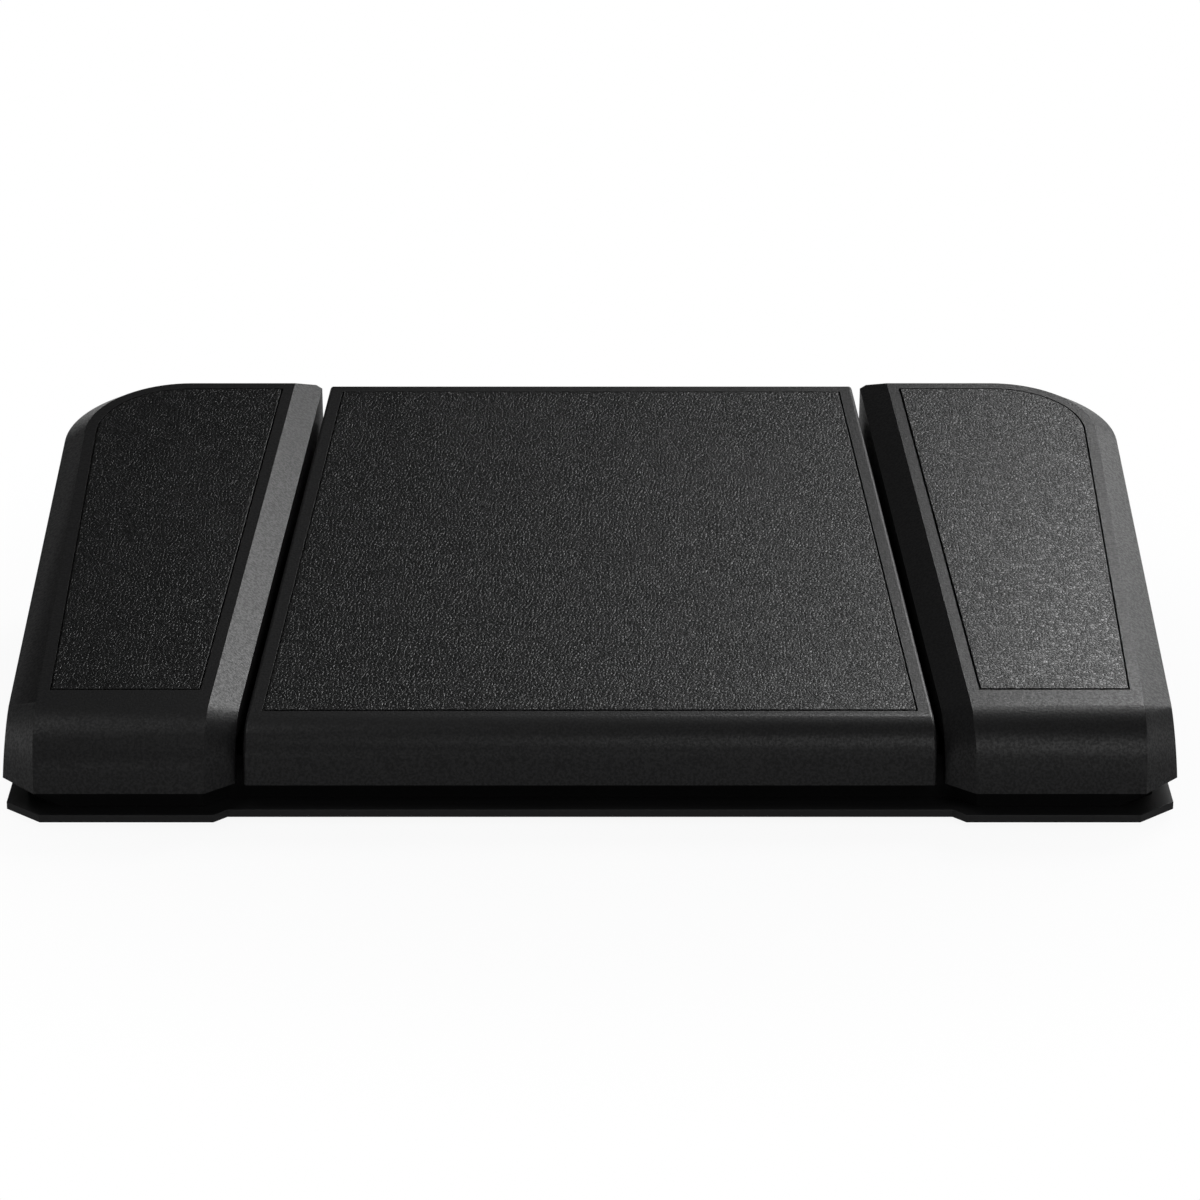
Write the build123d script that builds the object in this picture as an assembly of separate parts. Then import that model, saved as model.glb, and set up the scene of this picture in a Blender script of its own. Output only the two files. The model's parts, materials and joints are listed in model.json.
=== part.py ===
from build123d import *
import os
from math import atan, cos, pi, radians, sin, tan

# Foot switch with three pedals, each hinged at its rear on a steel pin.
# Millimetres, X to the right, Y to the back, Z up, the floor at Z = 0.

# Overall size of the three covers and the wedge that they form
width = 233.0
depth = 149.0
slope_angle = 10.95
nose_height = 21.5
centre_step = 3.0
draft_angle = 4.0
cover_wall = 2.5
skirt_height = 8.0
rear_corner_share = 0.567
wing_nose_radius = 12.5
centre_nose_radius = 8.0
centre_setback = 4.6
edge_softening = 0.7

# Bevel round the top of each outer pedal
bevel_width = 5.3
bevel_drop = 3.4
bevel_back_inset = 7.2
outer_bevel_reach = 7.0

# Corners cut off the nose of each outer pedal, as angles in plan from its front
outer_cut_angle = 51.5
inner_cut_angle = 44.3
flank_run = 10.0
flank_fall_share = 0.96

# Slanted gaps between the pedals
gap_angle = 4.4
gap_width = 1.8
centre_nose_half_width = 68.9

gap_relief_front = 8.8
gap_relief_back = 4.2
gap_relief_clearance = 0.5

# Textured pads let into the covers
pad_border = 2.7
centre_pad_border = 3.3
pad_thickness = 1.6
pad_groove = 0.35
pad_groove_depth = 0.9
pad_proud = 0.1
wing_pad_front = 15.2
centre_pad_front = 12.6

# Steel base plate and rubber feet
foot_height = 1.4
plate_thickness = 1.6
plate_inset = 0.6
plate_front_inset = 1.3
plate_corner_cut = 7.2
plate_centre_setback = 2.9
plate_step_outset = 5.4
plate_step_run = 2.6
foot_length = 34.0
foot_width = 12.0
foot_end_radius = 4.0
foot_edge_inset = 12.0
foot_front_inset = 14.0
foot_back_inset = 22.0
middle_foot_setback = 6.0

# Moulded base tray
tray_inset = 4.4
tray_centre_setback = 4.9
tray_step_outset = 7.7
tray_step_run = 4.7
tray_floor = 2.0
tray_wall = 2.0
tray_wall_height = 7.0
divider_thickness = 0.9
divider_drop = 6.0
divider_front = 13.0
divider_back = 8.0
divider_notch = 22.0

# Rear hinge
hinge_from_back = 19.0
hinge_height = 14.0
pin_diameter = 5.0
pin_seat_clearance = 0.02
pin_running_clearance = 0.06
ear_radius = 5.5
ear_share = 0.05806
lug_radius = 5.0
lug_width = 5.0
lug_side_clearance = 0.5
pedal_travel_angle = 1.6

# Frame under each cover
deck_thickness = 2.4
deck_inset = 1.2
deck_front = 17.0
rib_front = 30.0
rib_front_height = 4.0
wing_lug_share = 0.1943
lug_spring_clearance = 0.8

# Stations that carry a spring, a stop bridge and a bumper
wing_station_inset = 5.7
spring_share = 0.4698
bridge_from_front = 36.0
bumper_from_front = 24.0
spring_diameter = 12.0
spring_wire = 1.4
spring_turns = 5
spring_seat_gap = 0.1
wire_samples = 24
spring_height = 18.0
post_diameter = 9.0
post_height = 5.0
boss_diameter = 14.0
boss_pilot = 4.0
bridge_bar_height = 2.5
bridge_bar_underside = 8.0
bridge_bar_depth = 3.0
bridge_span = 14.0
bridge_post = 2.0
hook_width = 6.0
hook_arm = 2.2
hook_toe_height = 2.6
hook_gap = 0.3
bumper_diameter = 8.0
bumper_height = 3.0
bumper_seat_rim = 1.2
bumper_seat_height = 1.2
bumper_seat_clearance = 0.1
stop_foot_diameter = 6.0
stop_gap = 0.25

# Circuit board, its switches and its inlet
board_standoff = 3.0
board_thickness = 1.6
board_end_inset = 9.5
board_strip = 18.0
tongue_share = 0.3919
switch_share = 0.2282
switch_length = 12.8
switch_depth = 5.8
switch_height = 6.5
switch_edge = 0.6
plunger_length = 3.0
plunger_depth = 1.6
plunger_rise = 1.3
plunger_hidden = 2.5
plunger_clearance = 0.05
actuator_gap = 0.05
actuator_length = 5.0
actuator_depth = 3.0
chip_size = 9.0
chip_height = 1.2
chip_from_hinge = 11.0
standoff_diameter = 6.0
board_screw_diameter = 2.5
board_screw_head = 4.6
board_screw_head_height = 1.5
board_screw_length = 4.6

# USB inlet and the block that frames it
inlet_width = 8.94
inlet_height = 3.26
inlet_length = 7.4
inlet_wall = 0.3
inlet_tongue_width = 6.7
inlet_tongue_height = 0.7
inlet_tongue_setback = 1.0
port_recess_width = 13.0
port_recess_height = 7.6
port_recess_depth = 5.0
port_block_width = 25.0
port_block_height = 11.6
port_block_depth = 8.0
port_block_setback = 1.0
port_block_corner = 3.0
port_gap = 0.8
port_recess_corner = 2.5
port_seat_clearance = 0.2
port_seat_depth = 11.0
round_end_slack = 0.01

# Screws
base_screw_diameter = 2.8
base_screw_head = 5.6
base_screw_head_height = 1.2
base_screw_length = 4.8
base_screw_share = 0.68
base_boss_diameter = 7.0
base_boss_height = 5.0
frame_screw_diameter = 2.4
frame_screw_head = 8.0
frame_screw_head_height = 1.6
frame_screw_length = 2.6
frame_boss_diameter = 5.6
frame_boss_clearance = 0.1
screw_clearance = 0.05
slot_length = 2.2
slot_width = 0.74
slot_depth = 0.7
frame_slot_length = 4.4

# How far a cut runs past what it cuts
overrun = 6.0
long_overrun = 18.0

# Sizes worked out from the values above
front = -depth / 2
back = depth / 2
half_width = width / 2
plate_top = foot_height + plate_thickness
floor_top = plate_top + tray_floor
board_bottom = floor_top + board_standoff
board_top = board_bottom + board_thickness
slope_tan = tan(radians(slope_angle))
slope_cos = cos(radians(slope_angle))
slope_sin = sin(radians(slope_angle))
draft_tan = tan(radians(draft_angle))
draft_cos = cos(radians(draft_angle))
gap_tan = tan(radians(gap_angle))
gap_cos = cos(radians(gap_angle))
bevel_angle = atan(bevel_drop / bevel_width)
wing_top_half_width = half_width - outer_bevel_reach
wing_span = half_width - centre_nose_half_width
wing_station = half_width - wing_span / 2 - wing_station_inset
wing_lug_offset = wing_span * wing_lug_share
board_half_length = half_width - board_end_inset
hinge_from_front = depth - hinge_from_back
rear_corner_radius = wing_span * rear_corner_share
ear_thickness = centre_nose_half_width * ear_share
board_tongue = centre_nose_half_width * tongue_share
centre_wall_at_hinge = centre_nose_half_width - hinge_from_front * gap_tan - cover_wall / gap_cos
centre_station = (board_tongue / 2 + centre_wall_at_hinge) / 2
spring_reach = (spring_diameter + spring_wire) / 2
centre_outer_lug = centre_station + spring_reach + lug_spring_clearance
centre_inner_lug = centre_station - spring_reach - lug_spring_clearance - lug_width
spring_from_front = depth * spring_share
switch_from_hinge = depth * switch_share
hinge_y = front + hinge_from_front
switch_y = hinge_y - switch_from_hinge
spring_y = front + spring_from_front
bridge_y = front + bridge_from_front
bumper_y = front + bumper_from_front
centre_height = nose_height - centre_step
spring_bottom = floor_top + spring_seat_gap
spring_top = spring_bottom + spring_height
boss_bottom = spring_top + spring_seat_gap
plunger_top = board_top + switch_height + plunger_rise
inlet_middle = board_top + inlet_height / 2
block_top = floor_top + port_block_height
everything = width + depth


def top_height(nose, y):
    """Height of a pedal's sloping top above the floor at a given Y."""
    return nose + (y - front) * slope_tan


def slope_plane(nose, lowered=0.0):
    """Plane of a pedal's top, or one that lies a given distance under it."""
    origin = (0, front + lowered * slope_sin, nose - lowered * slope_cos)
    return Plane(origin=origin, x_dir=(1, 0, 0), z_dir=(0, -slope_sin, slope_cos))


def along(y):
    """Distance up the slope, from the front edge, of a given Y."""
    return (y - front) / slope_cos


def gap_line(nose_half_width, y):
    """X of a slanted side wall at a given Y."""
    return nose_half_width - (y - front) * gap_tan


def polygon(*points):
    """Flat face through points."""
    return make_face(Polyline(*points, close=True))


def box_between(low, high):
    """Box from its lowest to its highest corner."""
    size = [b - a for a, b in zip(low, high)]
    middle = [(a + b) / 2 for a, b in zip(low, high)]
    return Pos(*middle) * Box(*size)


def post(x, y, bottom, top, diameter):
    """Upright round post."""
    height = top - bottom
    return Pos(x, y, bottom + height / 2) * Cylinder(diameter / 2, height)


def crosswise(x_low, x_high, y, z, radius):
    """Round bar that lies along X."""
    middle = (x_low + x_high) / 2
    return Pos(middle, y, z) * Rot(0, 90, 0) * Cylinder(radius, x_high - x_low)


def rounded_outline(points, corner, radius):
    """Face through points with one corner rounded."""
    face = polygon(*points)
    vertex = face.vertices().sort_by_distance((corner[0], corner[1], 0))[0]
    return fillet(vertex, radius)


def side_view(nose, wall, radius, bottom, rear, lean=0.0, stretch=1.0):
    """Side view of a pedal with its rounded nose, and a rear wall that may lean in."""
    corner_rise = nose + (wall - front) * slope_tan - skirt_height
    corner_y = wall + corner_rise * draft_tan / (1 - draft_tan * slope_tan)
    corner_z = top_height(nose, corner_y)
    head_y = rear - (top_height(nose, rear) - skirt_height) * lean
    points = [
        (wall + (bottom - skirt_height) * draft_tan, bottom),
        (corner_y, corner_z),
        (head_y, top_height(nose, head_y)),
        (rear + (skirt_height - bottom) * lean, bottom),
    ]
    face = polygon(*[(y / stretch, z) for y, z in points])
    vertex = face.vertices().sort_by_distance((corner_y / stretch, corner_z, 0))[0]
    return fillet(vertex, radius)


def centre_block(inset, bottom):
    """Outer form of the middle pedal, or the same drawn in by a wall."""
    side = centre_nose_half_width - inset / gap_cos
    low = front - overrun
    high = back + overrun
    plan = polygon(
        (-gap_line(side, low), low),
        (gap_line(side, low), low),
        (gap_line(side, high), high),
        (-gap_line(side, high), high),
    )
    wall = front + centre_setback + inset / draft_cos
    rear = back - inset / draft_cos
    view = side_view(
        centre_height - inset / slope_cos, wall, centre_nose_radius - inset, bottom, rear, draft_tan
    )
    return extrude(plan, amount=everything) & extrude(Plane.YZ * view, amount=width, both=True)


def wing_inner(inset=0.0):
    """Front X of the right pedal's wall along the gap."""
    return centre_nose_half_width + gap_width / gap_cos + inset / gap_cos


def wing_plan(inset):
    """Plan of the right pedal at the floor, with its round rear corner."""
    inner = wing_inner() - long_overrun
    points = [
        (half_width, front - overrun),
        (inner, front - overrun),
        (inner, back),
        (half_width, back),
    ]
    face = rounded_outline(points, (half_width, back), rear_corner_radius)
    spread = skirt_height * draft_tan - inset / draft_cos
    return offset(face, amount=spread, kind=Kind.INTERSECTION)


def wing_top_outline(shrink):
    """Flat top of the right pedal, drawn in the plane of its slope."""
    outer = wing_top_half_width - shrink
    inner = wing_inner(bevel_width + shrink)
    rear = back - bevel_back_inset - shrink
    low = front - long_overrun
    points = [
        (gap_line(inner, low), along(low)),
        (outer, along(low)),
        (outer, along(rear)),
        (gap_line(inner, rear), along(rear)),
    ]
    radius = rear_corner_radius - bevel_width - shrink
    return rounded_outline(points, (outer, along(rear)), radius)


def wing_bevel(inset):
    """Pedal top that falls away on every side at the angle of the bevel."""
    fall = nose_height + depth * slope_tan + overrun
    top = wing_top_outline(inset * tan(bevel_angle / 2))
    foot = offset(top, amount=fall / tan(bevel_angle), kind=Kind.INTERSECTION)
    upper = slope_plane(nose_height, inset) * top
    lower = slope_plane(nose_height, inset) * (Pos(0, 0, -fall) * foot)
    return loft([upper.face(), lower.face()], ruled=True)


def flank_way(sign, lean, cut_angle):
    """Way outward from a crease, just above the bevel of the top and back along the cut of the nose."""
    fall = tan(bevel_angle) * flank_fall_share
    back_share = -slope_sin - fall * sin(lean) * slope_cos
    rise_share = slope_cos - fall * sin(lean) * slope_sin
    cut = tan(radians(cut_angle))
    rise = (-fall * cos(lean) - back_share * cut) / (rise_share + back_share * draft_tan)
    return Vector(sign, cut + draft_tan * rise, rise)


def wing_nose(inset):
    """Right pedal's sloping top and nose, with a bevel that runs down the nose at both sides."""
    shrink = inset * tan(bevel_angle / 2)
    inner = wing_inner(bevel_width + shrink)
    outer = wing_top_half_width - shrink
    low = front - long_overrun
    high = back + long_overrun
    plan = polygon((gap_line(inner, low), low), (outer, low), (outer, high), (gap_line(inner, high), high))
    view = side_view(
        nose_height - inset / slope_cos, front + inset / draft_cos, wing_nose_radius - inset, 0, high
    )
    core = extrude(plan, amount=everything) & extrude(Plane.YZ * view, amount=width, both=True)
    faces = core.faces().sort_by(Axis.X)
    lean = atan(gap_tan * slope_cos)
    inner_flank = Solid.extrude(faces[0], flank_way(-1, lean, inner_cut_angle) * flank_run)
    outer_flank = Solid.extrude(faces[-1], flank_way(1, 0, outer_cut_angle) * flank_run)
    return core + inner_flank + outer_flank


def wing_block(inset, bottom):
    """Outer form of the right pedal, or the same drawn in by a wall."""
    body = extrude(wing_plan(inset), amount=nose_height + depth * slope_tan + overrun, taper=draft_angle)
    side = wing_inner(inset)
    low = front - long_overrun
    high = back + long_overrun
    gap_side = polygon(
        (gap_line(side, low), low), (width, low), (width, high), (gap_line(side, high), high)
    )
    gap_side = Pos(0, 0, bottom) * extrude(gap_side, amount=everything)
    return body & gap_side & wing_nose(inset) & wing_bevel(inset)


def wing_pad_outline(grow):
    """Right pad drawn in the plane of the slope."""
    outer = wing_top_half_width - pad_border + grow
    inner = wing_inner(bevel_width + pad_border - grow)
    rear = back - bevel_back_inset - pad_border + grow
    near = front + wing_pad_front - grow
    points = [
        (gap_line(inner, near), along(near)),
        (outer, along(near)),
        (outer, along(rear)),
        (gap_line(inner, rear), along(rear)),
    ]
    radius = rear_corner_radius - bevel_width - pad_border + grow
    return rounded_outline(points, (outer, along(rear)), radius)


def centre_rear_edge():
    """Y where the middle pedal's top meets its rear wall."""
    rise = top_height(centre_height, back) - skirt_height
    return back - rise * draft_tan


def centre_pad_outline(grow):
    """Middle pad drawn in the plane of the slope."""
    side = centre_nose_half_width - (centre_pad_border - grow) / gap_cos
    near = front + centre_pad_front - grow
    rear = centre_rear_edge() - pad_border + grow
    return polygon(
        (-gap_line(side, near), along(near)),
        (gap_line(side, near), along(near)),
        (gap_line(side, rear), along(rear)),
        (-gap_line(side, rear), along(rear)),
    )


def make_pad(outline, nose):
    """Textured pad with a narrow groove round its top."""
    return extrude(slope_plane(nose, pad_thickness) * outline(0.0), amount=pad_thickness + pad_proud)


def pad_recess(outline, nose):
    """Recess for a pad, a little wider near the top."""
    seat = extrude(slope_plane(nose, pad_thickness) * outline(0.0), amount=overrun)
    groove = extrude(slope_plane(nose, pad_groove_depth) * outline(pad_groove), amount=overrun)
    return seat + groove


def gap_wall_relief(side, sign):
    """Space under a cover's wall along the gap, clear of the tray, the board and the hinge."""
    near = front + gap_relief_front
    far = back - gap_relief_back
    inside = side - sign * (cover_wall + gap_relief_clearance)
    outside = side + sign * overrun
    face = polygon(
        (gap_line(inside, near), near),
        (gap_line(outside, near), near),
        (gap_line(outside, far), far),
        (gap_line(inside, far), far),
    )
    nose_travel = hinge_from_front * sin(radians(pedal_travel_angle))
    return extrude(face, amount=floor_top + tray_wall_height + nose_travel + gap_relief_clearance)


def port_notch():
    """Notch in the middle cover's rear wall that clears the inlet's block."""
    half = port_block_width / 2 + port_gap
    return box_between(
        (-half, back - port_block_depth - overrun, 0),
        (half, back + overrun, block_top + port_gap),
    )


def make_centre_cover():
    """Middle pedal cover, open below."""
    block = centre_block(0.0, skirt_height)
    edges = block.edges().filter_by(lambda e: e.center().Z > skirt_height + edge_softening)
    sides = edges.filter_by(lambda e: abs(e.center().X) > centre_nose_half_width / 2)
    block = fillet(sides, edge_softening)
    shell = block - centre_block(cover_wall, 0.0)
    shell -= pad_recess(centre_pad_outline, centre_height)
    relief = gap_wall_relief(centre_nose_half_width, 1)
    return shell - relief - mirror(relief, about=Plane.YZ) - port_notch()


def make_wing_cover():
    """Right pedal cover, open below."""
    shell = wing_block(0.0, skirt_height) - wing_block(cover_wall, 0.0)
    shell -= pad_recess(wing_pad_outline, nose_height)
    return shell - gap_wall_relief(wing_inner(), -1)


def full_outline(inset, step, outset, run, setback):
    """Plan of the base, with its set-back middle, cut corners and round rear corners."""
    outer = half_width - inset
    near = front + step
    cut = plate_corner_cut
    inner = centre_nose_half_width + outset
    rear = back - inset
    half = [
        (outer, rear),
        (outer, near + cut),
        (outer - cut, near),
        (inner, near),
        (inner - run, near + setback),
    ]
    points = half + [(-x, y) for x, y in reversed(half)]
    face = polygon(*points)
    corners = face.vertices().filter_by(lambda v: v.Y > rear - cut)
    return fillet(corners, rear_corner_radius - inset)


def base_screw_places():
    """Places of the screws that hold the plate to the tray."""
    near = front + foot_front_inset + foot_width
    far = back - foot_back_inset - foot_width
    side = half_width - foot_edge_inset - base_boss_diameter / 2
    inner = centre_station * base_screw_share
    spots = [(side, near), (side, far), (inner, near), (inner, far)]
    return spots + [(-x, y) for x, y in spots]


def screw(x, y, bottom, head, head_height, shank, length, up=True):
    """Screw with a slotted round head, its head below its shank or above it."""
    top = bottom + head_height if up else bottom - head_height
    low, high = sorted((bottom, top))
    solid = post(x, y, low, high, head)
    tip = top + length if up else top - length
    low, high = sorted((top, tip))
    solid += post(x, y, low, high, shank)
    slot = bottom + slot_depth if up else bottom - slot_depth
    low, high = sorted((bottom, slot))
    return solid - box_between(
        (x - slot_length / 2, y - slot_width / 2, low), (x + slot_length / 2, y + slot_width / 2, high)
    )


def make_base_plate():
    """Steel plate with sunk seats for its screws."""
    outline = full_outline(
        plate_inset, plate_front_inset, plate_step_outset, plate_step_run, plate_centre_setback
    )
    plate = Pos(0, 0, foot_height) * extrude(outline, amount=plate_thickness)
    for x, y in base_screw_places():
        seat_top = foot_height + base_screw_head_height + screw_clearance
        plate -= post(x, y, foot_height, seat_top, base_screw_head + 2 * screw_clearance)
        plate -= post(x, y, foot_height, plate_top, base_screw_diameter + 2 * screw_clearance)
    return plate


def foot_places():
    """Places of the rubber feet under the plate."""
    side = half_width - foot_edge_inset - foot_length / 2
    near = front + foot_front_inset
    far = back - foot_back_inset + foot_width / 2
    middle = near + middle_foot_setback
    return [(side, near), (-side, near), (side, far), (-side, far), (0, middle), (0, far)]


def make_feet():
    """Rubber feet as a group of separate pads."""
    outline = RectangleRounded(foot_length, foot_width, foot_end_radius)
    return [Pos(x, y, 0) * extrude(outline, amount=foot_height) for x, y in foot_places()]


def make_base_screws():
    """Screws from below, through the plate into the tray."""
    return [
        screw(x, y, foot_height, base_screw_head, base_screw_head_height, base_screw_diameter, base_screw_length)
        for x, y in base_screw_places()
    ]


def divider():
    """Upright wall in the right gap, in two lengths with room for the board between them."""
    middle = centre_nose_half_width + gap_width / gap_cos / 2
    half = divider_thickness / gap_cos / 2
    near = front + divider_front
    far = back - divider_back
    plan = polygon(
        (gap_line(middle - half, near), near),
        (gap_line(middle + half, near), near),
        (gap_line(middle + half, far), far),
        (gap_line(middle - half, far), far),
    )
    wall = Pos(0, 0, plate_top) * extrude(plan, amount=everything)
    roof = polygon(
        (near - overrun, 0),
        (far + overrun, 0),
        (far + overrun, top_height(centre_height - divider_drop, far + overrun)),
        (near - overrun, top_height(centre_height - divider_drop, near - overrun)),
    )
    wall = wall & extrude(Plane.YZ * roof, amount=width, both=True)
    notch = box_between(
        (0, switch_y - divider_notch / 2, floor_top), (width, switch_y + divider_notch / 2, everything)
    )
    return wall - notch


def ear(x_low):
    """Tray ear that holds a hinge pin."""
    foot = box_between(
        (x_low, hinge_y - ear_radius, plate_top), (x_low + ear_thickness, hinge_y + ear_radius, hinge_height)
    )
    head = crosswise(x_low, x_low + ear_thickness, hinge_y, hinge_height, ear_radius)
    bore = crosswise(
        x_low - overrun, x_low + ear_thickness + overrun, hinge_y, hinge_height,
        pin_diameter / 2 + pin_seat_clearance,
    )
    return foot + head - bore


def wing_lugs():
    """Low X of the right pedal's two lugs."""
    inner = wing_station - wing_lug_offset - lug_width
    outer = wing_station + wing_lug_offset
    return inner, outer


def ear_places():
    """Low X of each ear on the right half of the tray."""
    inner, outer = wing_lugs()
    spots = [inner - lug_side_clearance - ear_thickness, outer + lug_width + lug_side_clearance]
    spots.append(centre_outer_lug + lug_width + lug_side_clearance)
    spots.append(centre_inner_lug - lug_side_clearance - ear_thickness)
    return spots


def bridge(x):
    """Bar on two posts that stops a pedal's hook on the way up."""
    underside = floor_top + bridge_bar_underside
    top = underside + bridge_bar_height
    half = bridge_span / 2
    low = bridge_y - bridge_bar_depth / 2
    high = bridge_y + bridge_bar_depth / 2
    arch = box_between((x - half, low, floor_top), (x + half, high, top))
    opening = box_between(
        (x - half + bridge_post, low - overrun, floor_top),
        (x + half - bridge_post, high + overrun, underside),
    )
    return arch - opening


def bumper_seat(x):
    """Rim that holds a rubber bumper."""
    outer = bumper_diameter + 2 * bumper_seat_clearance + 2 * bumper_seat_rim
    ring = post(x, bumper_y, floor_top, floor_top + bumper_seat_height, outer)
    return ring - post(x, bumper_y, floor_top, everything, bumper_diameter + 2 * bumper_seat_clearance)


def standoff_places():
    """Places of the posts that carry the board."""
    side = board_half_length - standoff_diameter / 2
    inner = board_tongue / 2 - standoff_diameter / 2
    spots = [(side, switch_y), (centre_station, switch_y), (inner, hinge_y - ear_radius)]
    return spots + [(-x, y) for x, y in spots]


def make_tray():
    """Moulded tray with its walls, ears, bridges, posts and dividers."""
    outline = full_outline(
        tray_inset, plate_front_inset + tray_inset, tray_step_outset, tray_step_run, tray_centre_setback
    )
    core = offset(outline, amount=-tray_wall, kind=Kind.INTERSECTION)
    tray = Pos(0, 0, plate_top) * extrude(outline, amount=tray_floor + tray_wall_height)
    tray -= Pos(0, 0, floor_top) * extrude(core, amount=everything)
    features = [divider()] + [ear(x) for x in ear_places()]
    for x in (wing_station, centre_station):
        features += [bridge(x), bumper_seat(x), post(x, spring_y, plate_top, floor_top + post_height, post_diameter)]
    for feature in features:
        tray += feature
        tray += mirror(feature, about=Plane.YZ)
    for x, y in standoff_places():
        tray += post(x, y, plate_top, board_bottom, standoff_diameter)
        tray -= post(x, y, plate_top, board_bottom, board_screw_diameter + 2 * screw_clearance)
    for x, y in base_screw_places():
        tray += post(x, y, plate_top, plate_top + base_boss_height, base_boss_diameter)
        tip = foot_height + base_screw_head_height + base_screw_length + screw_clearance
        tray -= post(x, y, plate_top, tip, base_screw_diameter + 2 * screw_clearance)
    half = port_block_width / 2 + port_seat_clearance
    return tray - box_between((-half, back - port_seat_depth, floor_top), (half, back, everything))


def deck(outline, nose):
    """Flat deck that lies against the underside of a cover."""
    lowered = cover_wall + deck_thickness
    return extrude(slope_plane(nose, lowered) * outline, amount=deck_thickness)


def wing_deck_outline():
    """Deck of the right frame in the plane of its slope."""
    shrink = cover_wall * tan(bevel_angle / 2) + deck_inset
    low = front + deck_front
    keep = polygon(
        (0, along(low)), (width, along(low)), (width, along(back)), (0, along(back))
    )
    return wing_top_outline(shrink) & keep


def centre_deck_outline():
    """Deck of the middle frame in the plane of its slope."""
    side = centre_nose_half_width - (cover_wall + deck_inset) / gap_cos
    near = front + deck_front
    rear = centre_rear_edge() - cover_wall - deck_inset
    return polygon(
        (-gap_line(side, near), along(near)),
        (gap_line(side, near), along(near)),
        (gap_line(side, rear), along(rear)),
        (-gap_line(side, rear), along(rear)),
    )


def underside(nose, y):
    """Height of a deck's underside."""
    return top_height(nose, y) - (cover_wall + deck_thickness) / slope_cos


def rib(x_low, nose):
    """Deep rib under a deck that ends in a hinge lug."""
    near = front + rib_front
    root = deck_thickness / 2
    web = polygon(
        (near, underside(nose, near) + root),
        (near, underside(nose, near) - rib_front_height),
        (hinge_y, hinge_height - lug_radius),
        (hinge_y + lug_radius, hinge_height),
        (hinge_y + lug_radius, underside(nose, hinge_y + lug_radius) + root),
    )
    solid = Pos(x_low, 0, 0) * extrude(Plane.YZ * web, amount=lug_width)
    return solid + crosswise(x_low, x_low + lug_width, hinge_y, hinge_height, lug_radius)


def lug_bore():
    """Bore through every lug on the hinge axis."""
    return crosswise(-width, width, hinge_y, hinge_height, pin_diameter / 2 + pin_running_clearance)


def below_deck(nose):
    """Space under the middle of a deck's thickness, across the whole width."""
    low = front - overrun
    high = back + overrun
    root = deck_thickness / 2
    side = polygon((low, 0), (high, 0), (high, underside(nose, high) + root), (low, underside(nose, low) + root))
    return extrude(Plane.YZ * side, amount=width, both=True)


def station(x):
    """Spring boss, hook and stop foot, which run up into a deck."""
    boss = post(x, spring_y, boss_bottom, everything, boss_diameter)
    boss += post(x, spring_y, boss_bottom - boss_pilot, boss_bottom, post_diameter)
    drop = (hinge_from_front - bumper_from_front) * sin(radians(pedal_travel_angle))
    foot_bottom = floor_top + bumper_height + drop + stop_gap
    foot = post(x, bumper_y, foot_bottom, everything, stop_foot_diameter)
    toe_top = floor_top + bridge_bar_underside - hook_gap
    arm_near = bridge_y + bridge_bar_depth / 2 + 2 * hook_gap
    arm = box_between(
        (x - hook_width / 2, arm_near, toe_top - hook_toe_height),
        (x + hook_width / 2, arm_near + hook_arm, everything),
    )
    toe = box_between(
        (x - hook_width / 2, bridge_y - bridge_bar_depth / 2, toe_top - hook_toe_height),
        (x + hook_width / 2, arm_near + hook_arm, toe_top),
    )
    return boss + foot + arm + toe


def actuator(x):
    """Post that presses a switch."""
    bottom = plunger_top + actuator_gap
    return box_between(
        (x - actuator_length / 2, switch_y - actuator_depth / 2, bottom),
        (x + actuator_length / 2, switch_y + actuator_depth / 2, everything),
    )


def frame_screw_places(stations):
    """Places of the screws that hold a deck to its cover, as X and Y."""
    rows = (spring_y - boss_diameter, spring_y + boss_diameter)
    return [(x, y) for x in stations for y in rows]


def slope_post(x, y, nose, low, high, diameter):
    """Round post square to a pedal's slope, between two depths under its top."""
    place = slope_plane(nose, low) * Pos(x, along(y), 0)
    return place * extrude(Circle(diameter / 2), amount=low - high)


def frame_screws(nose, stations):
    """Screws from below, through a deck into its cover."""
    bottom = cover_wall + deck_thickness
    screws = []
    for x, y in frame_screw_places(stations):
        head = slope_post(x, y, nose, bottom + frame_screw_head_height, bottom, frame_screw_head)
        shank = slope_post(x, y, nose, bottom, bottom - frame_screw_length, frame_screw_diameter)
        slot_plane = slope_plane(nose, bottom + frame_screw_head_height) * Pos(x, along(y), 0)
        slot = slot_plane * extrude(Rectangle(frame_slot_length, slot_width), amount=slot_depth)
        screws.append(head + shank - slot)
    return screws


def add_bosses(cover, nose, stations):
    """Bosses under a cover that pass through its deck and take the screws."""
    bottom = cover_wall + deck_thickness
    root = (cover_wall + pad_thickness) / 2
    tip = bottom - frame_screw_length - screw_clearance
    for x, y in frame_screw_places(stations):
        cover += slope_post(x, y, nose, bottom, root, frame_boss_diameter)
        cover -= slope_post(x, y, nose, bottom, tip, frame_screw_diameter + 2 * screw_clearance)
    return cover


def make_frame(outline, nose, lugs, stations, switch_x):
    """Moulded frame under a cover, with its lugs, bosses, hooks and switch post."""
    frame = deck(outline, nose)
    for x in lugs:
        frame += rib(x, nose)
    space = below_deck(nose)
    for x in stations:
        frame += station(x) & space
    frame += actuator(switch_x) & space
    bottom = cover_wall + deck_thickness
    for x, y in frame_screw_places(stations):
        hole = frame_boss_diameter + 2 * frame_boss_clearance
        frame -= slope_post(x, y, nose, bottom + overrun, cover_wall, hole)
    return frame - lug_bore()


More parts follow.
